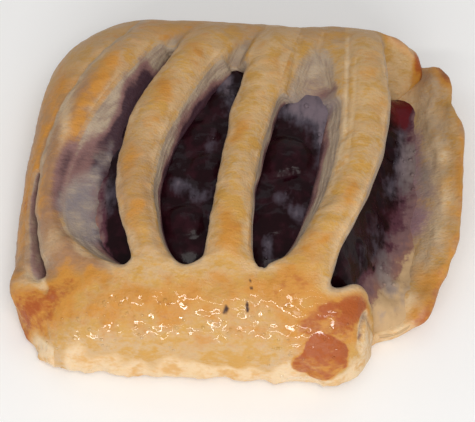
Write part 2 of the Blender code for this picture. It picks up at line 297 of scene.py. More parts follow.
def crustPlace(column, row, under):
    span, across = spanOf(column)
    y = rowY(row)
    along = min(1.0, max(0.0, bandShare(y)))
    left, right = lineX(span, along, under), lineX(span + 1, along, under)
    end = lineX(len(crust["cells"]), along, False)
    if y < loaf["frontBand"]:
        end = min(end, rimX(y) + crust["endOut"])
    if span == 0:
        across **= crust["leftPower"]
    if span == len(crust["cells"]) - 1:
        right = end
        across = 1.0 - (1.0 - across) ** crust["rightPower"]
    x = left + (right - left) * across
    intoRoll = max(0.0, (firstSlit - row) / crust["frontRows"], (row - lastSlit) / crust["backRows"])
    if 0 < column < columnStarts[-1]:
        # going down the rolls the lines spread out evenly
        even = loaf["crestX"] - loaf["left"]
        even += (end - even) * column / columnStarts[-1]
        x += (even - x) * crust["evenOut"] * easeIn(intoRoll)
    inset = crust["thick"] if under else 0.0
    if under:
        x -= inset * leanOut(x - loaf["crestX"], loaf["left"], loaf["right"], sidePower(y))
        y -= inset * leanOut(y, loaf["front"], loaf["back"], depthPower(y))
    foldedUnder = crust["foldedUnder"] * max(through(x, crust["foldX"]), through(y, crust["foldY"]))
    foot = onSheet(x, y) - crust["sunk"] - foldedUnder
    z = loafHeight(x, y, inset, foot)
    if intoRoll > 0.0 or row in (firstSlit, lastSlit):
        # the rolls' right ends come down to the bottom sheet, and the back one is whole down to it
        closing = min(1.0, max(0.0, 1.0 - (end - x) / crust["endLength"]))
        y *= 1.0 - crust["endCorner"] * closing ** 3
        if under:
            x -= crust["thick"] * closing ** 2
        foot = onSheet(x, y) - crust["sunk"] - foldedUnder
        z = foot + (z - foot) * arch(closing, crust["frontEndPower"] if y < 0.0 else crust["backEndPower"])
        if under and row >= lastSlit:
            z += (foot - z) * through(x, crust["backWhole"])
        if row == firstSlit and span in crust["slits"][1:4]:
            y -= crust["slitRound"] * (math.sin(math.pi * across) - 1.0)  # the slits end round
    elif not under and span > 0:
        z += topRelief(span, across)
    if z > foot + crust["unevenFrom"]:
        z += crust["uneven"] * wobble(x, y, crust["unevenSize"], 1.0)
    x, y = roundCorners(x, y, inset)
    return Vector((x, y, z))


def crustCut(column, row):
    span = spanOf(column + 1)[0]
    return span in crust["slits"] and firstSlit <= row < lastSlit - crust["sags"].get(span, (0, 0.0))[0]


# Filling

filling = {
    "inset": 7.4, "edgeDrop": 2, "under": 9.2, "right": 49.5, "fall": (22, 46), "thin": 1.6,
    "ragged": 1.5, "raggedFrom": (0.6, 1), "raggedSize": 9,
    "edgeFrom": 0.8, "edgeSteep": 5, "edgeLift": 0.3, "sunk": 0.8,
    "open": (12, 27), "openCorner": 9, "openFront": 39, "openBack": 44.5,
    "columns": 150, "rows": 130,
}
# Swollen berries under the jam: span, place along it, place across it, radius, how high they stand
berries = (
    (3, 0.22, 0.8, 4.6, 0.8), (3, 0.3, 0.7, 4.5, 0.8), (3, 0.52, 0.85, 4.2, 0.8), (3, 0.7, 0.6, 4, 0.8),
    (5, 0.08, 0.45, 4.2, 0.8), (5, 0.17, 0.5, 5.5, 1.6), (5, 0.3, 0.3, 4.4, 0.6), (5, 0.38, 0.7, 4.6, 1),
    (5, 0.5, 0.4, 5, 1.2), (5, 0.64, 0.5, 4.4, 0.9), (5, 0.76, 0.5, 4, 0.7),
    (7, 0.08, 0.5, 4.2, 0.6), (7, 0.2, 0.4, 4.6, 0.7), (7, 0.31, 0.7, 4.2, 0.6), (7, 0.43, 0.42, 7, 2.6),
    (9, 0.08, 0.16, 4.4, 1), (9, 0.2, 0.34, 4.6, 1.4), (9, 0.33, 0.18, 4.4, 1.2), (9, 0.45, 0.3, 4.8, 1.4),
    (9, 0.58, 0.14, 4.4, 1.4), (9, 0.7, 0.3, 4.6, 1.4), (9, 0.82, 0.16, 4.2, 1),
)


def berryPlaces():
    places = []
    for span, along, across, radius, stand in berries:
        left, right = lineX(span, along, True), lineX(span + 1, along, True)
        places.append((left + (right - left) * across, bandY(along), radius, stand))
    return places


berrySpots = berryPlaces()


def jamLevel(x, y):
    inset = filling["inset"] + filling["edgeDrop"] * max(0.0, (loaf["crestX"] - x) / loaf["left"]) ** 3
    z = loafHeight(x, y, inset, sheet["thick"])
    low = onSheet(x, y) + filling["thin"]
    z = max(low, z)
    return z + (low - z) * through(x, filling["fall"])


def jamPlace(column, row, under):
    inset = filling["under"]
    across = 2.0 * column / filling["columns"] - 1.0
    depth = 2.0 * row / filling["rows"] - 1.0
    room = reach(depth, inset, loaf["front"], loaf["back"])
    if across < 0.0:
        x = loaf["crestX"] + across * (loaf["left"] - inset)
        y = depth * room
        edge = 0.0
    else:
        pull = pullIn(across, depth, filling["openCorner"])
        x = loaf["crestX"] + across * pull * (filling["right"] - loaf["crestX"])
        intoOpen = through(x, filling["open"])
        room += (reach(depth, 0.0, filling["openFront"], filling["openBack"]) - room) * intoOpen
        y = depth * pull * room
        ragged = filling["ragged"] * wobble(0.0, y, filling["raggedSize"], 3.0)
        x += ragged * through(across, filling["raggedFrom"])
        edge = easeIn(filling["edgeSteep"] * (max(across, abs(depth)) - filling["edgeFrom"])) * intoOpen
    low = onSheet(x, y) - filling["sunk"]
    if under:
        z = low
    else:
        z = jamLevel(x, y)
        z += (low + filling["edgeLift"] - z) * edge ** 2
    x, y = roundCorners(x, y, inset)
    return Vector((x, y, z))


# Mesh making

def linked(name, content):
    made = bpy.data.objects.new(name, content)
    bpy.context.scene.collection.objects.link(made)
    return made


# The mesh that an object's modifiers make of it; the object goes
def settled(holder):
    bpy.context.view_layer.update()
    graph = bpy.context.evaluated_depsgraph_get()
    mesh = bpy.data.meshes.new_from_object(
        holder.evaluated_get(graph), preserve_all_data_layers=True, depsgraph=graph)
    old = holder.data
    bpy.data.objects.remove(holder)
    bpy.data.meshes.remove(old)
    return mesh


# A grid with thickness and walls on its open edges; each point remembers its column, its row,
# how far down the wall it is and whether it lies on a cut
def thickGrid(name, columns, rows, rings, place, isCut):
    last = len(rings) - 1
    index, points, marks, faces = {}, [], [], []

    def there(column, row):
        return 0 <= column < columns and 0 <= row < rows and not isCut(column, row)

    def onCut(column, row):
        around = [(c, r) for c in (column - 1, column) for r in (row - 1, row)
                  if 0 <= c < columns and 0 <= r < rows]
        return float(any(isCut(c, r) for c, r in around))

    def corner(column, row, ring):
        key = (column, row, ring)
        if key not in index:
            top, under = place(column, row, False), place(column, row, True)
            index[key] = len(points)
            points.append(top.lerp(under, rings[ring]))
            marks.append((column, row, rings[ring], onCut(column, row)))
        return index[key]

    for column in range(columns):
        for row in range(rows):
            if not there(column, row):
                continue
            around = ((column, row), (column + 1, row), (column + 1, row + 1), (column, row + 1))
            beside = ((column, row - 1), (column + 1, row), (column, row + 1), (column - 1, row))
            faces.append([corner(*spot, 0) for spot in around])
            faces.append([corner(*spot, last) for spot in reversed(around)])
            for side in range(4):
                if not there(*beside[side]):
                    start, end = around[side], around[(side + 1) % 4]
                    for ring in range(last):
                        faces.append([corner(*end, ring), corner(*start, ring),
                                      corner(*start, ring + 1), corner(*end, ring + 1)])
    mesh = bpy.data.meshes.new(name)
    mesh.from_pydata(points, [], faces)
    for label, values in zip(("column", "row", "down", "cut"), zip(*marks)):
        setMark(mesh, label, values)
    return mesh


def uncut(column, row):
    return False


def setMark(mesh, label, values):
    layer = mesh.attributes.get(label) or mesh.attributes.new(label, "FLOAT", "POINT")
    layer.data.foreach_set("value", np.asarray(values, dtype=np.float32))


# Marks for the materials, each held between 0 and its own top
def setLooks(mesh, looks):
    for label, (values, top) in looks.items():
        setMark(mesh, label, np.clip(values, 0.0, top))


def mark(mesh, label):
    values = np.empty(len(mesh.vertices), dtype=np.float32)
    mesh.attributes[label].data.foreach_get("value", values)
    return values.astype(float)


def pointsOf(mesh):
    values = np.empty(len(mesh.vertices) * 3)
    mesh.vertices.foreach_get("co", values)
    return values.reshape(-1, 3)


def normalsOf(mesh):
    values = np.empty(len(mesh.vertices) * 3, dtype=np.float32)
    mesh.vertex_normals.foreach_get("vector", values)
    return values.reshape(-1, 3).astype(float)


def movePoints(mesh, points):
    mesh.vertices.foreach_set("co", points.ravel())
    mesh.update()


# Rounded by subdivision; what lies hidden underneath is then thinned to a share of its faces
def rounded(name, mesh, levels, thinTo):
    holder = linked(name, mesh)
    puffed = holder.modifiers.new("puffed", "SUBSURF")
    puffed.levels = levels
    puffed.render_levels = levels
    mesh = settled(holder)
    hidden = np.flatnonzero(mark(mesh, "down") > 0.999)
    holder = linked(name, mesh)
    group = holder.vertex_groups.new(name="hidden")
    group.add([int(vertex) for vertex in hidden], 1.0, "REPLACE")
    thinner = holder.modifiers.new("thinner", "DECIMATE")
    thinner.vertex_group = "hidden"
    thinner.ratio = 1.0 - (1.0 - thinTo) * len(hidden) / len(mesh.vertices)
    return settled(holder)


# Small pieces take the marks of the surface they lie on
def copyMarks(mesh, source, labels):
    tree = kdtree.KDTree(len(source.vertices))
    for vertex in source.vertices:
        tree.insert(vertex.co, vertex.index)
    tree.balance()
    nearest = [tree.find(vertex.co)[1] for vertex in mesh.vertices]
    for label in labels:
        setMark(mesh, label, mark(source, label)[nearest])


def finished(name, mesh, finish, node):
    mesh.materials.clear()
    mesh.materials.append(finish)
    mesh.shade_smooth()
    made = linked(name, mesh)
    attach(made, "root")
    if node:
        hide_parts(node)
    print(name, sum(len(face.vertices) - 2 for face in mesh.polygons), "triangles")


# Node boards: sums on sockets are written as sums

class Wire:
    def __init__(self, board, socket):
        self.board = board
        self.socket = socket

    def between(self, low, high):
        return self.board.add("ShaderNodeMapRange", {"interpolation_type": "SMOOTHSTEP"},
                              {"Value": self, "From Min": low, "From Max": high})

    def held(self):
        return self.board.add("ShaderNodeClamp", {}, {"Value": self})

    # Another output of the same node
    def beside(self, out):
        return Wire(self.board, self.socket.node.outputs[out])


# A sum's sign leads to its node, with the wire on either side of it
def giveSign(sign, operation):
    def before(wire, other):
        return wire.board.add("ShaderNodeMath", {"operation": operation}, {0: wire, 1: other})

    def after(wire, other):
        return wire.board.add("ShaderNodeMath", {"operation": operation}, {0: other, 1: wire})

    setattr(Wire, f"__{sign}__", before)
    setattr(Wire, f"__r{sign}__", after)


for sign, operation in (("add", "ADD"), ("sub", "SUBTRACT"), ("mul", "MULTIPLY"), ("truediv", "DIVIDE"),
                        ("pow", "POWER")):
    giveSign(sign, operation)


class Board:
    def __init__(self, tree):
        self.tree = tree

    def add(self, kind, settings=None, sockets=None, out=0):
        node = self.tree.nodes.new(kind)
        for name, value in (settings or {}).items():
            setattr(node, name, value)
        self.fill(node, sockets or {})
        return Wire(self, node.outputs[out])

    # Sockets take wires or plain values
    def fill(self, node, sockets):
        for name, value in sockets.items():
            if isinstance(value, Wire):
                self.tree.links.new(value.socket, node.inputs[name])
            else:
                node.inputs[name].default_value = value

    def mark(self, label):
        return self.add("ShaderNodeAttribute", {"attribute_name": label}, {}, "Fac")

    # Noise on the object's own coordinates, with features about size mm across
    def grain(self, size, detail=2.0, stretch=(1.0, 1.0, 1.0), shift=0.0):
        shifts, scale = (shift, shift, shift), tuple(1.0 / part for part in stretch)
        place = self.add("ShaderNodeTexCoord", {}, {}, "Object")
        place = self.add("ShaderNodeMapping", {}, {"Vector": place, "Location": shifts, "Scale": scale})
        return self.add("ShaderNodeTexNoise", {}, {
            "Vector": place, "Scale": 1.0 / (size * mm), "Detail": detail})

    def blend(self, share, low, high):
        return self.add("ShaderNodeMix", {"data_type": "RGBA"}, {0: share, 6: low, 7: high}, 2)

    def bump(self, height, strength, depth):
        return self.add("ShaderNodeBump", {}, {
            "Height": height, "Strength": strength, "Distance": depth * mm})


# A tree of geometry nodes with named inputs, which are filled in by their identifiers
class Recipe(Board):
    def __init__(self, name, asked):
        super().__init__(bpy.data.node_groups.new(name, "GeometryNodeTree"))
        face = self.tree.interface
        face.new_socket("Geometry", in_out="OUTPUT", socket_type="NodeSocketGeometry")
        face.new_socket("Geometry", in_out="INPUT", socket_type="NodeSocketGeometry")
        kinds = {float: "NodeSocketFloat", int: "NodeSocketInt", bpy.types.Object: "NodeSocketObject",
                 bpy.types.Material: "NodeSocketMaterial"}
        self.answers = {}
        for label, value in asked.items():
            socket = face.new_socket(label, in_out="INPUT", socket_type=kinds[type(value)])
            self.answers[socket.identifier] = value
        self.source = self.tree.nodes.new("NodeGroupInput")

    def given(self, label="Geometry"):
        return Wire(self, self.source.outputs[label])

    def fieldMark(self, label):
        return self.add("GeometryNodeInputNamedAttribute", {"data_type": "FLOAT"}, {"Name": label})

    # Noise from -1 to 1, with features of a given size
    def lumps(self, size, seed):
        place = self.add("GeometryNodeInputPosition")
        field = self.add("ShaderNodeTexNoise", {"noise_dimensions": "4D"},
                         {"Vector": place, "W": seed, "Scale": 1.0 / size})
        return field * 2.0 - 1.0

    def random(self, low, high, seed):
        return self.add("FunctionNodeRandomValue", {"data_type": "FLOAT"}, {
            2: low, 3: high, "Seed": seed}, 1)

    def moved(self, shape, way):
        return self.add("GeometryNodeSetPosition", {}, {"Geometry": shape, **way})

    def upwards(self, height):
        return self.add("ShaderNodeCombineXYZ", {}, {"Z": height})

    def objectShape(self, label):
        return self.add("GeometryNodeObjectInfo", {}, {"Object": self.given(label)}, "Geometry")

    # The recipe, cooked on a mesh, gives a plain mesh
    def cook(self, name, mesh, shape):
        whole = self.add("GeometryNodeRealizeInstances", {}, {"Geometry": shape})
        whole = self.add("GeometryNodeSetMaterial", {}, {
            "Geometry": whole, "Material": self.given("Finish")})
        end = self.tree.nodes.new("NodeGroupOutput")
        self.tree.links.new(whole.socket, end.inputs["Geometry"])
        holder = linked(name, mesh)
        modifier = holder.modifiers.new(name, "NODES")
        modifier.node_group = self.tree
        for identifier, value in self.answers.items():
            modifier[identifier] = value
        return settled(holder)


# Screen colour code to the linear colour that shaders take
def tint(code):
    parts = [int(code[start:start + 2], 16) / 255.0 for start in (0, 2, 4)]
    linear = [part / 12.92 if part <= 0.04045 else ((part + 0.055) / 1.055) ** 2.4 for part in parts]
    return (*linear, 1.0)


def newFinish(name):
    made = bpy.data.materials.new(name)
    made.use_nodes = True
    shader = made.node_tree.nodes["Principled BSDF"]
    return made, Board(made.node_tree), shader


# the dull colour is a duller dough tone, and also painted shade on the top crust's left strips and back
# slope
doughColours = {
    "golden": "C19247", "straw": "C5A478", "orange": "C08434", "brown": "A04F18", "cream": "DBBF98",
    "side": "B19D86", "sideShade": "9A8574", "mauve": "825F5B", "soaked": "40262F", "film": "83787A",
    "burnt": "38180A", "dullAndShade": "946C54", "honey": "CFA060", "blush": "97757A",
}
# the film mark paints dried film of jam, its pale bluish grey a painted reflection
doughMarks = ("toast", "cream", "side", "stainAndShade", "film", "glaze", "burnt", "dullAndShade")


# Baked dough, in the colours that the points' marks ask for
def doughFinish(name, glossy, stained):
    made, board, shader = newFinish(name)
    colour = {key: tint(code) for key, code in doughColours.items()}
    mottle = board.grain(5.0, 3.0) - 0.5
    fine = board.grain(1.0, 3.0, (1.6, 0.7, 1.0), 0.3) - 0.5
    streak = board.grain(1.7, 3.0, (1.7, 0.7, 1.0), 0.7) - 0.5
    layers = board.grain(0.8, 2.0, (6.0, 6.0, 0.6), 0.5)
    toast = board.mark("toast") + mottle * 1.5 + streak * 0.5 + fine * 0.2
    paled = (mottle + fine * 0.6 + streak * 0.3).between(-0.18, 0.16)
    skin = board.blend(paled, colour["golden"], colour["straw"])
    # duller tone, which on the left strips and the back slope is painted shade
    skin = board.blend((board.mark("dullAndShade") + mottle * 0.5 + fine * 0.3).held(), skin, colour["dullAndShade"])
    skin = board.blend(toast.between(0.2, 0.8), skin, colour["orange"])
    skin = board.blend((toast + fine * 0.4).between(0.8, 1.45), skin, colour["brown"])
    honeyed = (mottle + fine * 0.5 + streak * 0.4).between(-0.1, 0.25)
    paler = board.blend(honeyed, colour["cream"], colour["honey"])
    skin = board.blend((board.mark("cream") + mottle * 0.8 + fine * 0.4).between(0.1, 0.9), skin, paler)
    side = board.blend(layers.between(0.3, 0.65), colour["sideShade"], colour["side"])
    cutOpen = (board.mark("side") + fine * 0.4 + mottle * 0.2).between(0.15, 0.85)
    colours = board.blend(cutOpen, skin, side)
    # stains, and painted shade on the walls of the left groove
    stainAndShade = board.mark("stainAndShade") + mottle * 0.5 + fine * 0.3
    colours = board.blend(stainAndShade.between(0.15, 0.65), colours, colour[stained])
    colours = board.blend(stainAndShade.between(0.6, 1.05), colours, colour["soaked"])
    # dried film of jam, painted pale bluish grey as reflection
    film = (board.mark("film") + mottle * 0.9 + streak * 0.4).between(0.15, 0.95)
    dried = (mottle + streak * 0.3 + fine * 0.3).between(-0.2, 0.5)
    colours = board.blend(film, colours, board.blend(dried, colour["film"], colour["side"]))
    colours = board.blend(board.mark("burnt"), colours, colour["burnt"])
    broken = board.grain(1.6, 2.0, (1.4, 0.8, 1.0), 1.3)
    glaze = board.mark("glaze") * (0.15 + 0.85 * broken.between(0.4, 0.5))
    rough = 0.55 - 0.2 * glaze * glossy + fine * 0.2 - 0.2 * film
    height = fine * 0.5 + streak * 0.4 + broken * 0.5 + board.grain(0.5, shift=0.9) * 0.5
    board.fill(shader, {
        "Base Color": colours, "Roughness": rough.held(), "Normal": board.bump(height, 0.7, 0.4),
        "Coat Weight": (glaze * glossy).held(), "Coat Roughness": 0.05, "Specular IOR Level": 0.3,
        "Subsurface Weight": 0.1, "Subsurface Radius": (3.0 * mm, 1.6 * mm, 0.8 * mm),
        "Subsurface Scale": 1.0})
    return made


# film and sheen are painted reflection: dried film of jam painted pale bluish grey, and lighter where it
# is thickest
jamColours = {
    "dark": "1A060B", "plum": "2A0B14", "red": "5E161D", "film": "4C454F", "sheen": "74666E",
    "maroon": "54303A", "mauve": "785A5A", "soaked": "8C665A", "pale": "C0A078", "dried": "9C8A80",
}
jamMarks = ("thin", "film", "doughy")


# Wet filling, which pales over the dough and dries to a film in places; the film's pale bluish grey and
# its lighter sheen are painted reflection
def jamFinish(name):
    made, board, shader = newFinish(name)
    colour = {key: tint(code) for key, code in jamColours.items()}
    clots = board.grain(3.5, 3.0) - 0.5
    fine = board.grain(0.8, shift=0.4) - 0.5
    streak = board.grain(2.0, 3.0, (0.6, 2.2, 1.0), 0.8) - 0.5
    colours = board.blend(clots.between(-0.1, 0.2), colour["dark"], colour["plum"])
    colours = board.blend((board.mark("thin") + clots * 0.8).between(0.3, 1.0), colours, colour["red"])
    # thin filling takes on the colour of the dough below it
    blotched = (board.mark("doughy") * 3.0).held()
    doughy = board.mark("doughy") + blotched * (clots * 0.9 + fine * 0.35 + streak * 0.3)
    for low, high, key in ((0.02, 0.2, "maroon"), (0.2, 0.5, "mauve"), (0.5, 0.8, "soaked"),
                           (0.8, 1.1, "pale")):
        colours = board.blend(doughy.between(low, high), colours, colour[key])
    # painted reflection: the dried film is painted bluish grey, with lighter sheen where its mark is
    # strongest and pale over the dough
    film = (board.mark("film") + clots * 1.3 + streak * 0.9 + fine * 0.3).between(0.25, 1.1)
    thick = board.mark("film") - 0.9 + streak * 0.6 + clots * 0.5
    sheenSkin = board.blend(thick.between(-0.15, 0.35), colour["film"], colour["sheen"])
    sheenSkin = board.blend(board.mark("doughy").held(), sheenSkin, colour["dried"])
    colours = board.blend(film, colours, sheenSkin)
    rough = 0.2 + 0.25 * clots.between(-0.05, 0.25) + 0.2 * film + 0.25 * doughy.between(0.1, 0.6)
    height = clots * 0.8 + fine * 0.3 + streak * 0.4
    board.fill(shader, {
        "Base Color": colours, "Roughness": rough, "Normal": board.bump(height, 0.35, 0.5),
        "Specular IOR Level": 0.08, "Coat Weight": 0.08, "Coat Roughness": 0.05})
    return made


bakedCrust = doughFinish("bakedCrust", 1.0, "mauve")
paleCrust = doughFinish("paleCrust", 0.35, "blush")
blueberryJam = jamFinish("blueberryJam")
print("finishes mixed")


# Patches and relief on the finished forms

# Patches give x, y, reach along x, reach along y and strength
def spread(points, patches):
    total = np.zeros(len(points))
    for x, y, reachX, reachY, strength in patches:
        away = ((points[:, 0] - x) / reachX) ** 2 + ((points[:, 1] - y) / reachY) ** 2
        total += strength * np.exp(-away)
    return total


def above(points, height):
    return np.array([height(x, y) for x, y in points[:, :2].tolist()])


# How far points are inside steps along x, y and z
def inside(points, steps):
    share = np.ones(len(points))
    for values, zone in zip(points.T, steps):
        if zone:
            share *= step(values, zone)
    return share


# Where the filling thins out over the dough, front to back: y, x where that starts, over what length
thinRight = (
    (-46, 26, 7), (-36, 29, 7), (-28, 32, 7), (-22, 35, 7), (-14, 37.5, 9), (-3, 39.5, 14),
    (12, 41, 10.5), (24, 42, 7.5), (31, 44, 4.5), (39, 45.5, 3), (46, 45, 5),
)
thinLeft = (
    (-34, -29.5, 3), (-27, -33, 4), (-16, -34.3, 6), (-4, -35.3, 8), (6, -36, 8), (13, -35, 8),
)


# 0 where the filling is deep, about 1 where only its stain is left on the dough
def thinned(points):
    share = np.zeros(len(points))
    for line, way in ((thinRight, 1.0), (thinLeft, -1.0)):
        along, start, length = np.array(line).T
        past = way * (points[:, 0] - np.interp(points[:, 1], along, start))
        share = np.maximum(share, past / np.interp(points[:, 1], along, length))
    return share


# Soft swellings of the rim and the thin filling, as patches with a height
puffs = (
    (47.5, -27, 5, 6, 1.8), (39.5, -33, 3.5, 6, 1.8), (53, -12, 3, 5, 0.9), (52, 24, 4, 9, 0.8),
    (50, 44, 4, 5, 1.2), (17, 18, 9, 4, 0.9),
)
# Creases in the crust: depth, half width, then points along them
creases = (
    (0.7, 0.7, (12.5, 41), (11.6, 30), (10.6, 19)), (0.6, 0.8, (18.5, 43), (17.5, 36), (21.5, 22)),
    (0.35, 0.6, (25.6, 42), (26, 20), (26.8, 4)), (0.25, 0.5, (28, 30), (28.4, 12), (27.6, -6)),
    (1.1, 0.5, (33.5, -46), (33.9, -42.5), (35.4, -39.8), (37.2, -38.6), (38.8, -39), (40, -41.5)),
    (0.9, 0.8, (-56.5, -32), (-52, -35.5), (-48, -40)),
)


def creased(points):
    depth = np.zeros(len(points))
    for deepest, width, *route in creases:
        nearest = np.full(len(points), np.inf)
        for start, end in zip(route, route[1:]):
            start, run = np.array(start), np.array(end) - np.array(start)
            share = np.clip((points[:, :2] - start) @ run / (run @ run), 0.0, 1.0)
            away = np.linalg.norm(points[:, :2] - start - share[:, None] * run, axis=1)
            nearest = np.minimum(nearest, away)
        depth = np.maximum(depth, deepest * bell(nearest, width))
    return depth


# The front corners of both sheets of dough: where each moves, as steps along x, y and z, and how far
corners = {
    "left": ((-40, -62), (-32, -52), (17, 4)), "leftIn": 1,
    "lip": (-56, -39.5, 16), "lipReach": (5, 7.5, 6), "lipOut": 6,
    "right": ((18, 32), (-38, -46), (24, 10)), "rightOut": 1, "rightForward": 3.6,
}


# The left one tucks in below its flared lip and the right one swells forward
def tucked(points):
    left, right = inside(points, corners["left"]), inside(points, corners["right"])
    lip = np.exp(-(((points - corners["lip"]) / corners["lipReach"]) ** 2).sum(axis=1))
    moved = points.copy()
    moved[:, 0] += corners["leftIn"] * left - corners["lipOut"] * lip + corners["rightOut"] * right
    moved[:, 1] -= corners["rightForward"] * right
    return moved


# Top crust: patches of browning, glaze, pale dough, dried film of jam painted pale bluish grey as
# reflection, and stain
toasted = (
    (-50, -45, 8, 7, 0.95), (-54.5, -40, 4, 8, 0.55), (-42, -38, 9, 4, 0.55), (30, -42.5, 8, 4, 0.9),
    (22.5, -47, 7, 3.5, 0.72), (34, -39.5, 4, 3, 0.7), (29, -48.5, 3.5, 2.5, 0.3),
    (-27, -46, 9, 3.5, 0.35), (-12, -44, 8, 4, 0.4), (10, -40, 12, 4, 0.4), (-25.8, -24.9, 3.5, 8, 0.5),
    (-29.6, -8.5, 3, 6, 0.55), (-23.6, 12.8, 3.5, 9, 0.6), (-17, 30, 4, 7, 0.45),
    (-2, -24.3, 3.5, 8, 0.55), (-1.2, 1.9, 3, 6, 0.7), (1, 14, 3, 5, 0.55), (6.1, 27.3, 3.5, 7, 0.75),
    (17.3, -36.9, 6, 5, 0.5), (34.7, 10.6, 3, 7, 0.6), (32.4, 28.2, 4, 7, 0.55), (28, -14, 3.5, 8, 0.4),
    (-44.8, 4, 3, 10, 0.8), (-53.5, -13.3, 2.5, 9, 0.6), (-39.5, 20, 3.5, 10, 0.8),
    (-54, 20, 6, 16, 0.5), (-57.5, -12, 3, 20, 0.75), (-25, 42, 12, 6, 0.45), (21.3, -29, 5, 5, 0.45),
    (1.7, -31, 5, 5, 0.45), (-12.5, -30, 4, 4, 0.35), (30, 46, 10, 5, 0.15), (2, 46, 10, 5, 0.15),
    (48, 50, 4, 4, 0.5), (40, 48.2, 6, 2, 1.1),
)
glazed = (
    (-43.6, -41.3, 3, 1.5, 0.6), (-37, -44.6, 3, 2.5, 1), (-30.7, -45.4, 2, 2, 0.8),
    (-25.6, -44.9, 3, 2.5, 1), (-40, -50, 6, 4, 1), (-30, -50, 6, 3, 0.9), (-19.7, -48.9, 7, 3.5, 1),
    (-13, -47, 5, 3.5, 0.9), (-4, -48, 5, 3, 0.8), (7.4, -48, 5, 4, 1), (15, -50.4, 6, 3.5, 1),
    (22.5, -50, 6, 3.5, 1), (27.5, -47.8, 4, 3, 0.9), (14, -45, 5, 3, 0.6), (-44, -50, 3.5, 3.5, 0.9),
)
paledDough = (
    (-48.8, 8, 2.5, 12, 0.6), (-47, -28, 4, 5.5, 0.5), (-41, 30, 4, 6, 0.3), (-25, 2, 2.5, 9, 0.25),
    (26, -5, 3, 10, 0.35),
)
filmSheenDough = (
    (-41.5, -15, 4.5, 8, 1), (-38, -25, 4, 5, 0.9), (-38.5, -5, 2.5, 5, 0.55), (-36, 0, 1.3, 4, 0.6),
    (-46, -18, 3, 7, 0.55), (17, 16.5, 8, 4.5, 1.1),
)
stainedDough = (
    (-46.5, -4, 4, 6, 0.65), (-42.5, -2.5, 3.5, 6, 0.55), (-37, -4, 3.5, 7, 0.5),
    (-38.5, 3, 3, 3.5, 0.45), (-48.5, -12, 3, 6, 0.45), (-46.8, -16.5, 2.5, 8, 0.5),
    (-29.5, 24, 2, 6, 0.9), (-32.5, 15.5, 2, 6, 0.9), (-35, 9, 2, 5, 0.5), (-16.5, 6, 3, 7, 0.6),
    (-12, 15, 3, 6, 0.5), (-19.5, -5, 2, 4, 0.4), (-33.5, -24, 2.5, 5, 0.5), (-33, 20, 4, 8, 0.35),
    (22, 21, 4, 4, 0.45),
)
burntSpecks = (
    (-0.9, -45.7, 0.6), (-0.4, -45.2, 0.45), (4.6, -44.3, 0.55), (4.8, -45.3, 0.5), (5.5, -41, 0.4),
    (5, -39.6, 0.35), (6.4, -38.2, 0.3),
)
# Its relief, as layers, and the zones where its colours start and are full
crustLook = {
    "wrinkles": ((ridges, 2.4, 1, 0.12, (3, 0.8, 1.5)), (ridges, 5, 2, 0.3, (1.6, 1, 1))),
    "blisters": ((noiseField, 3.2, 3, 0.28), (noiseField, 1.5, 4, 0.18), (ridges, 8, 5, 0.35)),
    "foot": (7, 3), "footEnd": 45, "footFolds": ((ridges, 7, 10, 0.9, (1, 1, 3)),),
    "footLower": 0.3, "wallGrain": ((noiseField, 6, 7, 0.25),), "uneven": ((noiseField, 10, 8, 0.5),),
    "wallLayers": 4.5, "layerWander": 0.8, "layerDepth": 0.05, "creaseFrom": (12, 5), "creaseIn": 6,
    "cornerForward": (25.5, -36.5, 6, 6, 4), "cornerLower": 0.55,
    # hardly baked: under the roll, its right end, the strips' edges and the back right corner
    "underY": (-44, -49), "underTop": 13, "underIn": 7,
    "endX": 33.5, "endSlant": 0.5, "endIn": 2.5, "end": (None, (-38, -41), (22, 18)),
    "stripWhole": 0.35, "stripBack": (28, 40), "palerBack": (-8, 12), "backEnd": ((34, 38), (36, 42)),
    # browned: the roll's top, a sharp-edged patch on it, and the rim of the back right corner
    "rollTop": (12, 20), "brown": (24.5, -52, 13.5), "brownStretch": (1, 1.6, 1.1), "brownReach": 7.5,
    "brownEnd": (31.5, 30.7), "rimBrown": 34, "rimBrownX": (42.5, 46.5), "rimBrownY": (50, 52.5),
    "bareY": (14, 6), "bareLeft": (-49.5, -48), "bareRight": (-41, -44),
    # stained, and duller: a duller dough tone, with painted shade on the left strips and the back slope
    "jamClimb": 3.4, "jamFade": 3.6, "innerEdge": (0.35, 0.85), "creaseX": (25, 29), "creaseY": -30,
    "shadeLeft": (14, 28), "shadeBack": (34, 43), "shadeBackX": -30, "dullStrip": (-16, 18),
}


def acrossSpans(column):
    span = np.searchsorted(columnStarts, column + 0.001, side="right") - 1
    span = np.clip(span, 0, len(crust["cells"]) - 1)
    across = (column - np.array(columnStarts)[span]) / np.array(crust["cells"])[span]
    return span, np.clip(across, 0.0, 1.0)


# How far the whole dough behind each slit has sunk towards the filling
def sunken(span, across, row):
    depth = np.zeros(len(row))
    bank = crust["sagSide"]
    valley = ease(across / bank) * ease((1.0 - across) / bank) * (row > firstSlit + 1.0)
    for sagging, (rows, deepest) in crust["sags"].items():
        depth += np.where(span == sagging, deepest * valley * ease((lastSlit - row) / rows), 0.0)
    return depth


# What each point knows of its place in the crust
def crustPlaces(mesh):
    row, down, cut = (mark(mesh, label) for label in ("row", "down", "cut"))
    span, across = acrossSpans(mark(mesh, "column"))
    outside = 1.0 - step(down, (0.0, 0.3))
    inRoll = step(row, (firstSlit + 0.2, firstSlit - 1.2))
    return row, down, cut, span, across, sunken(span, across, row), outside, inRoll


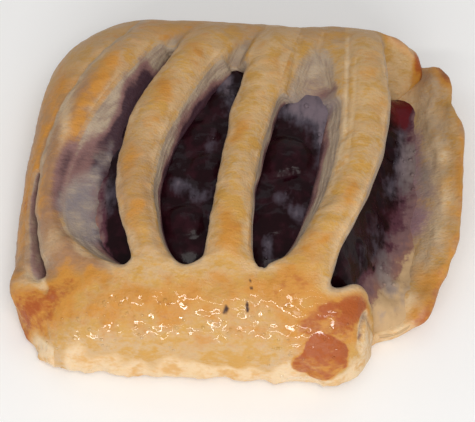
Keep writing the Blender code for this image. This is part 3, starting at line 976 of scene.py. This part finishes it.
def markCrust(mesh, points, crease):
    row, down, cut, span, across, sag, outside, inRoll = crustPlaces(mesh)
    x, y, z = points.T
    patchy = noiseField(points, 6.0, 9.0)
    inBack = step(row, (lastSlit + 0.5, lastSlit + 2.5))
    backEnd = inside(points, crustLook["backEnd"])
    strip = np.isin(span, crust["strips"]) * ease(row - firstSlit) * (1.0 - inBack)
    stripEdge = np.abs(2.0 * across - 1.0) - crustLook["stripWhole"] + 0.5 * patchy
    stripEdge = strip * ease(stripEdge / (1.0 - crustLook["stripWhole"]))
    stripEdge *= 1.0 - 0.6 * step(y, crustLook["stripBack"])
    stained = spread(points, stainedDough)

    # hardly baked: under the roll, its right end, the slits' lips, the strips' edges and the creases
    under = ease((crustLook["underTop"] + 5.0 * patchy - z) / crustLook["underIn"])
    under *= step(y, crustLook["underY"])
    end = x - crustLook["endX"] - 3.0 * patchy + crustLook["endSlant"] * (y + 50.0)
    end = ease(end / crustLook["endIn"]) * inside(points, crustLook["end"])
    lips = step(row, (firstSlit + 1.2, firstSlit + 0.2)) * cut
    lips *= step(row, (firstSlit - 1.6, firstSlit - 0.2))
    edges = 0.55 * stripEdge * (1.0 - np.minimum(1.0, 1.5 * stained))
    right = 0.35 * strip * (span > 4) * step(y, crustLook["palerBack"])
    cream = np.maximum.reduce((under, end, edges, 0.6 * lips, right))
    cream = np.clip(cream + 0.35 * step(crease, (0.0, 0.4)), 0.0, 1.0) * outside

    # browned: patches, the roll's top, one sharp-edged patch on it and the back corner's rim
    rollTop = inRoll * step(z, crustLook["rollTop"])
    toast = spread(points, toasted) * (1.0 - 0.8 * cream) + 0.12 * patchy + 0.08 + 0.28 * rollTop
    away = np.linalg.norm((points - crustLook["brown"]) / crustLook["brownStretch"], axis=1)
    brown = ease((crustLook["brownReach"] + 2.0 * patchy - away) / 0.8) * step(x, crustLook["brownEnd"])
    rim = np.maximum(step(x, crustLook["rimBrownX"]), step(y, crustLook["rimBrownY"]))
    toast = toast * outside + 1.1 * brown + 0.7 * rim * (x > crustLook["rimBrown"])
    bare = step(y, crustLook["bareY"]) * step(x, crustLook["bareLeft"]) * step(x, crustLook["bareRight"])
    cream *= (1.0 - brown) * (1.0 - np.isin(span, (2, 3)) * bare)
    cream = np.clip(cream + spread(points, paledDough) * outside, 0.0, 1.0)
    cream = np.maximum(cream, 0.5 * backEnd * ease((46.0 - x + 2.0 * patchy) / 2.0))

    # the cut walls, the sunken dough behind them and the left strips' inner edges show layers
    walls = ease(cut * 1.3 - 0.25) * np.maximum(step(down, (0.0, 0.15)), step(cut, (0.75, 1.0)) * 0.45)
    inner = 0.6 * (span < 3) * strip * bell(across - 1.0 * (span < 2), 0.3)
    side = np.maximum.reduce((walls, 0.75 * step(sag, (0.0, 3.0)) * outside, inner * outside))

    # stained near the filling's level and in patches; the left groove's walls are painted mauve, partly
    # jam stain and partly painted shade, and a mauve line runs along the front right crease
    nearJam = above(points, jamLevel) + crustLook["jamClimb"] + 1.5 * patchy - z
    nearJam = ease(nearJam / crustLook["jamFade"])
    sloped = np.maximum(cut * step(down, (0.0, 0.25)), step(sag, (0.0, 2.0)))
    innerEdge = (span == 2) * step(across, crustLook["innerEdge"]) * outside + cut * outside * (span == 3)
    facing = np.maximum(sloped, innerEdge)
    stainAndShade = sloped * nearJam * np.where(sag > 0.5, 0.3, 0.95) + facing * stained
    # painted shade, with jam stain, in mauve on the left groove's walls
    groove = (span < 2) * cut * step(down, (0.0, 0.15))
    stainAndShade = np.maximum(stainAndShade * (1.0 - groove), 0.5 * groove) * (1.0 - backEnd)
    inCrease = step(crease, (0.0, 0.8)) * step(x, crustLook["creaseX"]) * (y < crustLook["creaseY"])

    # duller, darker colour: painted shade on the left strips and on the back slope, where they turn from
    # the lights, and the dough's own duller tone on the right strips' edges and the middle of the second
    # strip
    middle, length = crustLook["dullStrip"]
    left = (0.7 * (span < 2) + 0.8 * (span == 2)) * (1.0 - 0.7 * step(y, crustLook["shadeLeft"]))
    dullAndShade = np.maximum.reduce((
        left * (1.0 - inRoll),
        0.7 * stripEdge * (span < 2) * (1.0 - inRoll),
        0.35 * step(y, crustLook["shadeBack"]) * (1.0 - backEnd) * (x > crustLook["shadeBackX"]),
        0.3 * stripEdge * (span > 3) + 0.35 * (span == 4) * strip * bell(y - middle, length)))
    burnt = spread(points, [(x, y, size, size, 1.0) for x, y, size in burntSpecks])
    setLooks(mesh, {
        "toast": (toast, 1.6), "cream": (cream, 1.0), "side": (side * (1.0 - backEnd), 1.0),
        "stainAndShade": (np.maximum(stainAndShade, 0.4 * inCrease), 1.1),
        "film": (spread(points, filmSheenDough) * facing, 1.1),
        "dullAndShade": (dullAndShade * outside * (1.0 - 0.8 * inBack), 1.0),
        "burnt": (step(burnt, (0.35, 0.65)) * outside, 1.0),
        "glaze": (outside * (0.08 + spread(points, glazed) * inRoll * (1.0 - 0.6 * brown)), 1.0)})


def makeCrust():
    rows = lastSlit + crust["backRows"]
    mesh = thickGrid("crust", columnStarts[-1], rows, crust["wallRings"], crustPlace, crustCut)
    mesh = rounded("crust", mesh, crust["levels"], crust["hiddenShare"])
    row, down, cut, span, across, sag, outside, inRoll = crustPlaces(mesh)
    points = pointsOf(mesh)
    points[:, 2] -= sag
    movePoints(mesh, tucked(points))
    # the corner between the last strip and the roll reaches forward
    points = pointsOf(mesh)
    forward = spread(points, (crustLook["cornerForward"],))
    points[:, 1] -= forward
    points[:, 2] -= crustLook["cornerLower"] * forward
    movePoints(mesh, points)
    # wrinkles across the strips, blisters on the roll, folds at its foot, layers in the cut walls
    points, normals = pointsOf(mesh), normalsOf(mesh)
    x, y, z = points.T
    wrinkles = relief(points, crustLook["wrinkles"]) * (1.0 - 0.8 * step(sag, (0.0, 2.0)))
    blisters = relief(points, crustLook["blisters"])
    foot = step(z, crustLook["foot"]) * (x < crustLook["footEnd"])
    blisters += foot * (relief(points, crustLook["footFolds"]) - crustLook["footLower"])
    wander = crustLook["layerWander"] * noiseField(points, 11.0, 6.0)
    layered = np.sin(2.0 * np.pi * (down * crustLook["wallLayers"] + wander))
    creaseFrom = np.where(x < 0.0, *crustLook["creaseFrom"])
    crease = creased(points) * ease((z - creaseFrom) / crustLook["creaseIn"])
    lift = outside * ((1.0 - inRoll) * wrinkles + inRoll * blisters) - crease
    walls = crustLook["layerDepth"] * layered + relief(points, crustLook["wallGrain"])
    lift += cut * step(down, (0.0, 0.2)) * walls + relief(points, crustLook["uneven"])
    movePoints(mesh, points + normals * lift[:, None])
    markCrust(mesh, points, crease)
    return mesh


# Bottom sheet: patches of browning, of film painted pale as reflection, and of burning on its rim
rimToasted = (
    (50, -24, 4, 6, 0.55), (47, -33, 5, 3.5, 0.75), (51, 48, 4, 3, 0.5), (57.5, 10, 3, 14, 0.3),
    (56, -12, 3, 6, 0.25), (54, 44.5, 2.5, 3.5, 0.8),
)
rimFilmSheen = ((44.5, -20, 4, 5, 0.45), (49, 10, 3.5, 12, 0.6), (41, -34, 3, 4, 0.35))
rimBurnt = ((54.5, 47, 1.6, 3, 0.35), (55.5, 34, 1.2, 3, 0.2))
sheetLook = {
    "flange": (42, 49), "lobes": (-14, -22), "upper": (0.3, 0.9), "grounded": (0, 1.5),
    "folds": ((ridges, 7, 11, 0.6, (0.7, 2.2, 1)), (noiseField, 2.6, 12, 0.25)),
    "lumps": ((noiseField, 6, 15, 1),), "uneven": ((noiseField, 8, 13, 0.35),),
    "notch": (40.5, -40.5, 4, 3.5, 1.6),  # where the rim's first lobe meets the roll
    "rimWide": 6, "rimIn": 5, "edgeWide": 2.2, "edgeIn": 1.8, "lobeBrown": (45, 50),
    "soakedFrom": 30, "soakedFront": (-34, -20), "soakedBack": (36, 24),
    "burntFront": (-30, -10),
}


def makeSheet():
    mesh = thickGrid("sheet", sheet["columns"], sheet["rows"], sheet["wallRings"], sheetPlace, uncut)
    mesh = rounded("sheet", mesh, sheet["levels"], sheet["hiddenShare"])
    movePoints(mesh, tucked(pointsOf(mesh)))
    points, normals = pointsOf(mesh), normalsOf(mesh)
    x, y, z = points.T
    upper = 1.0 - step(mark(mesh, "down"), sheetLook["upper"])
    rimAt = rimX(y)
    flange = step(x, sheetLook["flange"])
    lobes = flange * step(y, sheetLook["lobes"])
    lift = flange * upper * relief(points, sheetLook["folds"])
    lift += lobes * upper * relief(points, sheetLook["lumps"]) + upper * spread(points, puffs)
    lift += relief(points, sheetLook["uneven"]) * (0.3 + 0.7 * flange)
    points += normals * (lift * step(z, sheetLook["grounded"]))[:, None]
    points += spread(points, (sheetLook["notch"],))[:, None] * np.array((-1.0, 1.0, 0.0))
    movePoints(mesh, points)
    patchy = noiseField(points, 6.0, 14.0)
    rim = ease((x - rimAt + sheetLook["rimWide"] + 2.0 * patchy) / sheetLook["rimIn"]) * flange
    edge = ease((x - rimAt + sheetLook["edgeWide"]) / sheetLook["edgeIn"]) * flange
    toast = 0.1 * flange + 0.1 * rim + 0.25 * patchy + 0.2 * lobes * step(x, sheetLook["lobeBrown"])
    toast += edge * (0.45 + 0.6 * patchy)
    soaked = (1.2 + 0.1 * patchy - thinned(points)) * (x > sheetLook["soakedFrom"])
    soaked *= step(y, sheetLook["soakedFront"]) * step(y, sheetLook["soakedBack"])
    burnt = edge * 0.2 * step(patchy, (0.1, 0.5)) * step(y, sheetLook["burntFront"])
    setLooks(mesh, {
        "toast": (toast + spread(points, rimToasted), 1.5),
        "burnt": (burnt + spread(points, rimBurnt), 0.85),
        "cream": (0.8 - 0.3 * flange - 0.25 * rim + 0.5 * patchy, 1.0), "stainAndShade": (soaked, 0.64),
        "side": (0.5 * flange * (1.0 - rim) * (1.0 - 0.8 * lobes), 1.0),
        "dullAndShade": (flange * (0.3 + 0.2 * patchy), 1.0), "film": (spread(points, rimFilmSheen), 0.8),
        "glaze": (np.full(len(points), 0.15), 1.0)})
    return mesh


# Filling: patches of dried film, painted pale as reflection, and the zones of its lumps and colours
filmSheenJam = (
    (-16, -10.5, 3.5, 2.5, 0.8), (-10.5, -13.5, 4.5, 2.7, 0.8), (-9, 3, 1.5, 8, 0.5),
    (-7, -22, 1.5, 6, 0.5), (16, 18, 9, 7, 1.4), (21, 7, 3, 8, 1.1), (15, -17.5, 3, 3, 0.8),
    (11, -13, 3, 2.5, 0.6), (8.5, -27, 1.7, 5, 0.9), (-7, 24, 3, 6, 1.1), (-5, 17, 1.8, 5, 0.6),
    (42.3, 26, 2, 4.5, 0.9), (42.6, 15.5, 2.5, 5, 0.9), (39.5, 6, 2, 6, 0.7), (38, -13, 3.5, 7, 0.65),
    (33, -22, 2, 5, 0.45), (-34.5, -13, 3, 7, 0.9), (-34, 1, 2, 5, 0.5), (39.5, -21, 4, 4.5, 0.8),
    (41.5, -26, 3.5, 4, 0.6), (46, 20, 3, 6, 1), (46, 10, 2.5, 6, 0.7), (42.5, 6, 2.5, 6, 0.55),
    (43.5, -31.5, 2, 2, 0.55), (46.5, -24.5, 2, 3, 0.5), (39.5, -34, 1.5, 2, 0.6),
)
jamLook = {
    "body": (0.8, 4.3), "smooth": (17, 18, 10, 5, 1), "edgeColumns": 10,
    "rough": ((noiseField, 2.6, 21, 0.5), (noiseField, 1.3, 22, 0.3)),
    "redSpot": (45.5, 37, 7, 7.5, 1), "redRight": (32, 37), "thin": (0.5, 3.5),
    "backEdgeY": (41, 44.5), "backEdgeX": 38,
}


# Its level surface, then a recipe that raises lumps and swollen berries under its skin
def makeJam():
    mesh = thickGrid("jam", filling["columns"], filling["rows"], (0.0, 1.0), jamPlace, uncut)
    points = pointsOf(mesh)
    upper = 1.0 - mark(mesh, "down")
    body = step(points[:, 2] - above(points, onSheet), jamLook["body"])
    setMark(mesh, "body", body * upper * (1.0 - 0.9 * spread(points, (jamLook["smooth"],))))
    beforeEdge = ease((filling["columns"] - 2.0 - mark(mesh, "column")) / jamLook["edgeColumns"])
    rough = relief(points, jamLook["rough"]) * (step(thinned(points), (0.0, 0.5)) * beforeEdge)
    setMark(mesh, "swell", (spread(points, puffs) + rough) * upper)
    spots = bpy.data.meshes.new("berrySpots")
    spots.from_pydata([(x, y, jamLevel(x, y)) for x, y, radius, stand in berrySpots], [], [])
    setMark(spots, "reach", [radius for x, y, radius, stand in berrySpots])
    setMark(spots, "stand", [stand for x, y, radius, stand in berrySpots])
    holder = linked("berrySpots", spots)
    recipe = Recipe("jamLumps", {
        "Berries": holder, "Lump Height": 0.7, "Lump Size": 5.0,
        "Wrinkle Height": 0.22, "Wrinkle Size": 1.7, "Seed": 7.0, "Finish": blueberryJam})
    berryPoints = recipe.objectShape("Berries")
    place = recipe.add("GeometryNodeInputPosition")
    nearest = recipe.add("GeometryNodeSampleNearest", {"domain": "POINT"}, {
        "Geometry": berryPoints, "Sample Position": place})
    away = recipe.add("GeometryNodeProximity", {"target_element": "POINTS"}, {0: berryPoints}, "Distance")
    reachOf, standOf = (
        recipe.add("GeometryNodeSampleIndex", {"data_type": "FLOAT", "domain": "POINT"}, {
            "Geometry": berryPoints, "Value": recipe.fieldMark(label), "Index": nearest})
        for label in ("reach", "stand"))
    dome = (1.0 - (away / reachOf) ** 2.0).held() ** 0.8
    seed = recipe.given("Seed")
    lumps = recipe.lumps(recipe.given("Lump Size"), seed) * recipe.given("Lump Height")
    wrinkles = recipe.lumps(recipe.given("Wrinkle Size"), seed + 3.0) * recipe.given("Wrinkle Height")
    lift = recipe.fieldMark("body") * (standOf * dome + lumps + wrinkles) + recipe.fieldMark("swell")
    mesh = recipe.cook("jam", mesh, recipe.moved(recipe.given(), {"Offset": recipe.upwards(lift)}))
    bpy.data.objects.remove(holder)
    points = pointsOf(mesh)
    height = points[:, 2] - above(points, onSheet)
    redness = spread(points, (jamLook["redSpot"],)) + 0.2 * step(points[:, 0], jamLook["redRight"])
    backEdge = step(points[:, 1], jamLook["backEdgeY"]) * (points[:, 0] > jamLook["backEdgeX"])
    setLooks(mesh, {
        "thin": (1.3 * redness + 0.45 * (1.0 - step(height, jamLook["thin"])), 1.0),
        "film": (spread(points, filmSheenJam), 1.1), "doughy": (thinned(points) + 0.9 * backEdge, 1.2)})
    return mesh


# Layers that stand out along the cut walls, as thin ribs laid on the crust: span, then how deep each lies
wallLayers = {5: (0.3, 0.5, 0.7), 7: (0.25, 0.45, 0.65)}


def makeLayers(crustMesh):
    points, edges = [], []
    for span, deeps in wallLayers.items():
        kept = [row for row in range(firstSlit, lastSlit + 1) if crustCut(columnStarts[span], row)][1:-1]
        for column in columnStarts[span:span + 2]:
            for deep in deeps:
                for row in kept:
                    if row != kept[0]:
                        edges.append((len(points) - 1, len(points)))
                    top, under = crustPlace(column, row, False), crustPlace(column, row, True)
                    points.append(top.lerp(under, deep))
    lines = bpy.data.meshes.new("layerLines")
    lines.from_pydata(points, edges, [])
    holder = linked("crustShape", crustMesh)
    recipe = Recipe("wallLayers", {
        "Crust": holder, "Rib Radius": 0.14, "Step": 0.8, "Wander": 0.5, "Seed": 3.0,
        "Finish": bakedCrust})
    curve = recipe.add("GeometryNodeMeshToCurve", {}, {"Mesh": recipe.given()})
    curve = recipe.add("GeometryNodeResampleCurve", {"mode": "LENGTH"}, {
        "Curve": curve, "Length": recipe.given("Step")})
    drift = recipe.lumps(4.0, recipe.given("Seed")) * recipe.given("Wander")
    curve = recipe.moved(curve, {"Offset": recipe.upwards(drift)})
    onto = recipe.add("GeometryNodeProximity", {"target_element": "FACES"}, {
        0: recipe.objectShape("Crust")}, "Position")
    curve = recipe.moved(curve, {"Position": onto})
    along = recipe.add("GeometryNodeSplineParameter")
    taper = (4.0 * along * (1.0 - along)).held() ** 0.5
    thickness = 0.7 + 0.5 * recipe.lumps(3.0, recipe.given("Seed") + 5.0)
    ring = recipe.add("GeometryNodeCurvePrimitiveCircle", {}, {"Resolution": 6, "Radius": 1.0})
    shape = recipe.add("GeometryNodeCurveToMesh", {}, {
        "Curve": curve, "Profile Curve": ring, "Scale": recipe.given("Rib Radius") * taper * thickness,
        "Fill Caps": True})
    mesh = recipe.cook("layers", lines, shape)
    bpy.data.objects.remove(holder)
    copyMarks(mesh, crustMesh, doughMarks)
    return mesh


# Low domes scattered over a surface where one of its marks is strong: the mark, how many to a square
# millimetre, smallest and largest radius, height to radius, seed
domes = {
    "crustBlisters": ("glaze", 0.15, 0.2, 0.55, 0.3, 11),
    "syrupBeads": ("film", 0.12, 0.25, 0.8, 0.6, 12),
}


def scatter(name, source, finish, marks):
    label, amount, smallest, largest, flatness, seed = domes[name]
    recipe = Recipe(name, {
        "Amount": amount, "Smallest": smallest, "Largest": largest, "Flatness": flatness, "Seed": seed,
        "Finish": finish})
    density = (recipe.fieldMark(label) - 0.35).held() * recipe.given("Amount")
    spots = recipe.add("GeometryNodeDistributePointsOnFaces", {}, {
        "Mesh": recipe.given(), "Density": density, "Seed": recipe.given("Seed")}, "Points")
    dome = recipe.add("GeometryNodeMeshUVSphere", {}, {"Segments": 8, "Rings": 5, "Radius": 1.0})
    size = recipe.random(recipe.given("Smallest"), recipe.given("Largest"), recipe.given("Seed"))
    size = recipe.add("ShaderNodeCombineXYZ", {}, {
        "X": size, "Y": size, "Z": size * recipe.given("Flatness")})
    shape = recipe.add("GeometryNodeInstanceOnPoints", {}, {
        "Points": spots, "Instance": dome, "Rotation": spots.beside("Rotation"), "Scale": size})
    mesh = recipe.cook(name, source.copy(), shape)
    copyMarks(mesh, source, marks)
    return mesh


jamMesh = makeJam()
sheetMesh = makeSheet()
crustMesh = makeCrust()
print("main shapes made")
layersMesh = makeLayers(crustMesh)
blistersMesh = scatter("crustBlisters", crustMesh, bakedCrust, doughMarks)
beadsMesh = scatter("syrupBeads", jamMesh, blueberryJam, jamMarks)
print("small shapes made")
for name, mesh, finish, node, slotName in (
        ("blueberryJam", jamMesh, blueberryJam, "blueberry_filling", "blueberry_jam"),
        ("bottomCrust", sheetMesh, paleCrust, "bottom_sheet", "pale_crust"),
        ("latticeCrust", crustMesh, bakedCrust, "lattice_top", "baked_crust"),
        ("wallLayers", layersMesh, bakedCrust, None, "baked_crust"),
        ("crustBlisters", blistersMesh, bakedCrust, None, "baked_crust"),
        ("syrupBeads", beadsMesh, blueberryJam, None, "blueberry_jam")):
    movePoints(mesh, pointsOf(mesh) * mm)
    finished(name, mesh, finish, node)


# Floor, lights and camera

studio = {
    "floor": (0.97, 0.97, 0.97, 1), "floorRough": 0.9, "world": 0.48,
    "azimuth": 5, "elevation": 55, "range": 450, "target": (-1, -8, 15), "lens": 126.2,
}
# Lights: azimuth, elevation, distance, width, height, power, colour
lights = {
    "keyLight": (25, 60, 900, 350, 350, 2, (1, 0.97, 0.93)),
    "frontLight": (0, 36, 800, 700, 45, 2.4, (1, 0.98, 0.95)),
    "lowLight": (0, 5, 800, 700, 30, 1.2, (1, 1, 1)),
    "backLight": (180, 60, 900, 500, 120, 0.25, (0.85, 0.92, 1)),
}


def fromTarget(azimuth, elevation, distance):
    turn, rise = math.radians(azimuth), math.radians(elevation)
    back = Vector((math.sin(turn) * math.cos(rise), -math.cos(turn) * math.cos(rise), math.sin(rise)))
    return (Vector(studio["target"]) + back * distance) * mm, back.to_track_quat("Z", "Y")


def softLight(name, azimuth, elevation, distance, width, height, power, colour):
    light = bpy.data.lights.new(name, "AREA")
    light.shape = "RECTANGLE"
    light.size, light.size_y = width * mm, height * mm
    light.energy = power
    light.color = colour
    made = linked(name, light)
    made.location, turn = fromTarget(azimuth, elevation, distance)
    made.rotation_euler = turn.to_euler()


def makeStudio():
    bpy.ops.mesh.primitive_plane_add(size=4.0, location=(0.0, 0.0, -0.0001))
    floor = bpy.context.active_object
    floor.name = "floor"
    paper, board, shader = newFinish("paper")
    board.fill(shader, {"Base Color": studio["floor"], "Roughness": studio["floorRough"]})
    floor.data.materials.append(paper)
    world = bpy.data.worlds.new("room")
    world.use_nodes = True
    Board(world.node_tree).fill(world.node_tree.nodes["Background"], {
        "Color": (1.0, 1.0, 1.0, 1.0), "Strength": studio["world"]})
    bpy.context.scene.world = world
    for name, values in lights.items():
        softLight(name, *values)
    lens = bpy.data.cameras.new("camera")
    lens.lens = studio["lens"]
    lens.sensor_width = 36.0
    lens.clip_start, lens.clip_end = 0.01, 20.0
    camera = linked("camera", lens)
    camera.location, turn = fromTarget(studio["azimuth"], studio["elevation"], studio["range"])
    camera.rotation_euler = turn.to_euler()
    bpy.context.scene.camera = camera
    bpy.context.scene.view_settings.view_transform = "Standard"


makeStudio()
print("studio set")
